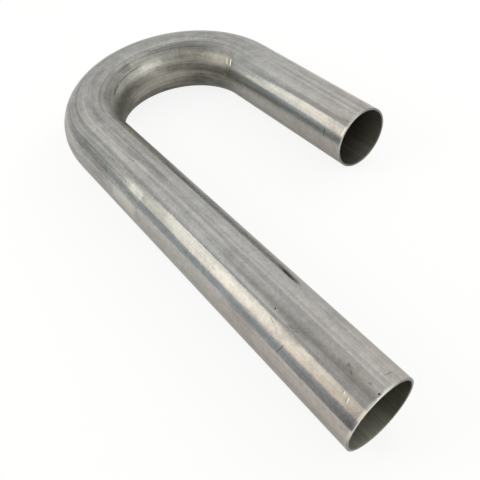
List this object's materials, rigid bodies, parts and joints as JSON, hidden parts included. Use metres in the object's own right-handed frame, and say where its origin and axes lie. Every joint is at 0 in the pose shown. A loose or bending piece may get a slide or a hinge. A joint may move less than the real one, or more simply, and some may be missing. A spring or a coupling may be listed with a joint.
{
  "type": "return bend",
  "caption": "Round steel tube bent through a half turn, with one long leg and one short leg, both ends open and cut square, to turn a flow back the way it came.",
  "frame": {"origin": "centre of the long leg's open end, on the tube's axis", "axes": "+Y runs up the long leg to the bend, +X points across to the short leg, +Z is square to the plane of the bend and points up as the tube lies flat"},
  "size_m": [0.2056, 0.4063, 0.0508],
  "materials": {
    "satin_steel": "satin mill finish with fine lines drawn along the tube"
  },
  "bodies": {
    "root": {"bent_tube": "satin_steel"}
  },
  "joints": []
}
